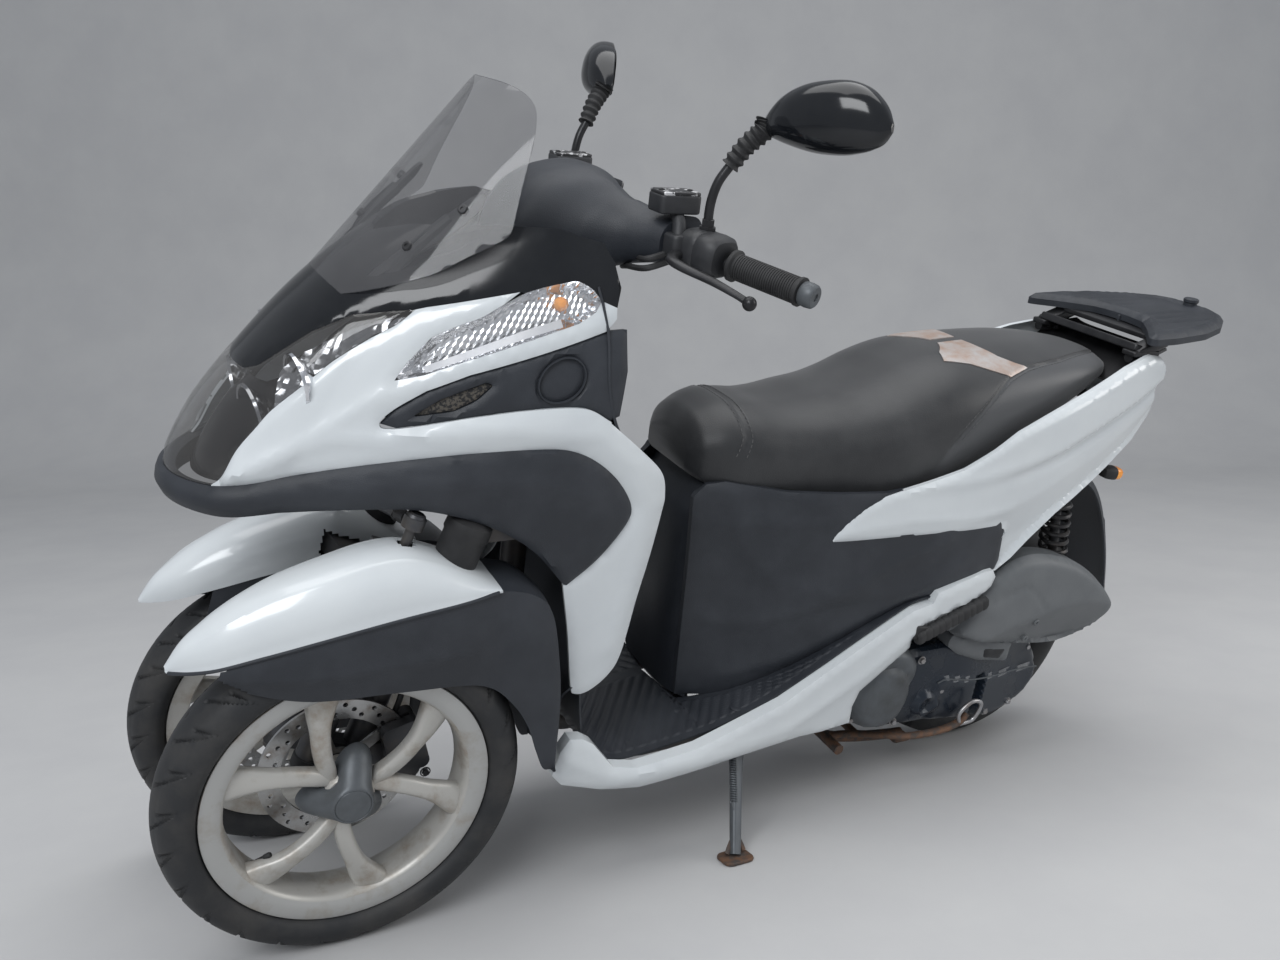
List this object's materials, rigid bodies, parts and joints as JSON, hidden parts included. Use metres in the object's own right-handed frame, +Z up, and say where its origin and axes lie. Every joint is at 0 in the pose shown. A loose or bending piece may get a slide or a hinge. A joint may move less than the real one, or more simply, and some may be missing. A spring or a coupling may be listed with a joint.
{
  "type": "reverse trike",
  "caption": "Leaning scooter with two front wheels and one rear wheel, resting on its side stand, with tall screen, stepped saddle and rear carrier plate.",
  "frame": {"origin": "middle of the whole machine's bounding box, on the floor", "axes": "+X forward, +Y to the rider's left, +Z up from the floor; the machine leans 15 degrees to +Y on its side stand"},
  "size_m": [1.9689, 0.9282, 1.3244],
  "materials": {
    "frame_paint": "satin black",
    "black_plastic": "textured matte",
    "white_paint": "pearl gloss",
    "gloss_black": "gloss",
    "smoked_glass": "clear smoked",
    "lamp_glass": "clear",
    "lamp_silver": "bright reflector",
    "lamp_red": "gloss",
    "engine_alloy": "cast",
    "drive_paint": "satin",
    "grey_plastic": "matte",
    "exhaust_paint": "matte black",
    "shock_steel": "satin",
    "bar_steel": "satin black",
    "control_plastic": "matte",
    "grip_rubber": "matte",
    "fork_paint": "satin",
    "wheel_silver": "satin, weathered",
    "disc_steel": "turned",
    "tyre": "matte",
    "seat_vinyl": "stitched vinyl"
  },
  "bodies": {
    "chassis": {"frame": "frame_paint", "floor_board": "black_plastic", "leg_shield": "black_plastic", "front_cowl": "white_paint", "nose_lens": "smoked_glass", "headlamps": "lamp_silver", "turn_lamps": "lamp_glass", "upper_cowl": "gloss_black", "windscreen": "smoked_glass", "lower_trim": "black_plastic", "side_inserts": "black_plastic", "side_skirts": "white_paint", "seat_base": "black_plastic", "rear_covers": "white_paint", "bucket": "black_plastic", "rear_lamps": "lamp_red", "rear_mudguard": "black_plastic", "rack": "gloss_black", "top_plate": "gloss_black", "engine": "engine_alloy", "drive_case": "drive_paint", "airbox": "grey_plastic", "exhaust": "exhaust_paint", "rear_shocks": "shock_steel", "swing_arm": "engine_alloy", "ignition": "shock_steel", "pegs": "control_plastic", "posts": "frame_paint", "cross_arms": "frame_paint"},
    "handlebar": {"handlebar": "bar_steel", "grips": "grip_rubber", "handlebar_cover": "black_plastic", "controls": "control_plastic", "mirrors": "gloss_black"},
    "fork_left": {"fork_left": "fork_paint", "fender_left": "white_paint", "fender_skirt_left": "black_plastic"},
    "fork_right": {"fork_right": "fork_paint", "fender_right": "white_paint", "fender_skirt_right": "black_plastic"},
    "wheel_front_left": {"tyre_left": "tyre", "rim_left": "wheel_silver", "disc_left": "disc_steel"},
    "wheel_front_right": {"tyre_right": "tyre", "rim_right": "wheel_silver", "disc_right": "disc_steel"},
    "wheel_rear": {"tyre_rear": "tyre", "rim_rear": "wheel_silver", "disc_rear": "disc_steel"},
    "tie_rod": {"tie_rod": "shock_steel"},
    "seat": {"seat": "seat_vinyl"},
    "side_stand": {"side_stand": "frame_paint"},
    "centre_stand": {"centre_stand": "frame_paint"}
  },
  "joints": [
    {"name": "steering", "type": "hinge", "parent": "chassis", "child": "handlebar", "pos_m": [0.56309, -0.0657, 0.63708], "axis": [-0.342, 0.2432, 0.9077], "range_deg": [-36, 36]},
    {"name": "fork_left_turn", "type": "hinge", "parent": "chassis", "child": "fork_left", "pos_m": [0.56309, 0.1268, 0.63708], "axis": [-0.342, 0.2432, 0.9077], "range_deg": [-36, 36]},
    {"name": "wheel_front_left_spin", "type": "hinge", "parent": "fork_left", "child": "wheel_front_left", "pos_m": [0.7345, 0.02126, 0.24319], "axis": [0, 0.9659, -0.2588], "continuous": true},
    {"name": "fork_right_turn", "type": "hinge", "parent": "chassis", "child": "fork_right", "pos_m": [0.56309, -0.2582, 0.63708], "axis": [-0.342, 0.2432, 0.9077], "range_deg": [-36, 36]},
    {"name": "wheel_front_right_spin", "type": "hinge", "parent": "fork_right", "child": "wheel_front_right", "pos_m": [0.7345, -0.36374, 0.24319], "axis": [0, 0.9659, -0.2588], "continuous": true},
    {"name": "wheel_rear_spin", "type": "hinge", "parent": "chassis", "child": "wheel_rear", "pos_m": [-0.5755, -0.17098, 0.24415], "axis": [0, 0.9659, -0.2588], "continuous": true},
    {"name": "tie_rod_swing", "type": "hinge", "parent": "fork_left", "child": "tie_rod", "pos_m": [0.6493, 0.12225, 0.6201], "axis": [-0.342, 0.2432, 0.9077], "range_deg": [-36, 36]},
    {"name": "seat_lid", "type": "hinge", "parent": "chassis", "child": "seat", "pos_m": [0.1445, -0.06305, 0.64694], "axis": [0, 0.9659, -0.2588], "range_deg": [0, 45]},
    {"name": "side_stand_fold", "type": "hinge", "parent": "chassis", "child": "side_stand", "pos_m": [0.0705, -0.02394, 0.17473], "axis": [0.0094, 0.9062, 0.4227], "range_deg": [0, 85.8]},
    {"name": "centre_stand_swing", "type": "hinge", "parent": "chassis", "child": "centre_stand", "pos_m": [-0.1705, -0.20282, 0.12534], "axis": [0, 0.9659, -0.2588], "range_deg": [-85, 0]}
  ],
  "couplings": [
    {"joint": "fork_left_turn", "follows": "steering", "ratio": 1},
    {"joint": "fork_right_turn", "follows": "steering", "ratio": 1},
    {"joint": "tie_rod_swing", "follows": "steering", "ratio": -1}
  ]
}
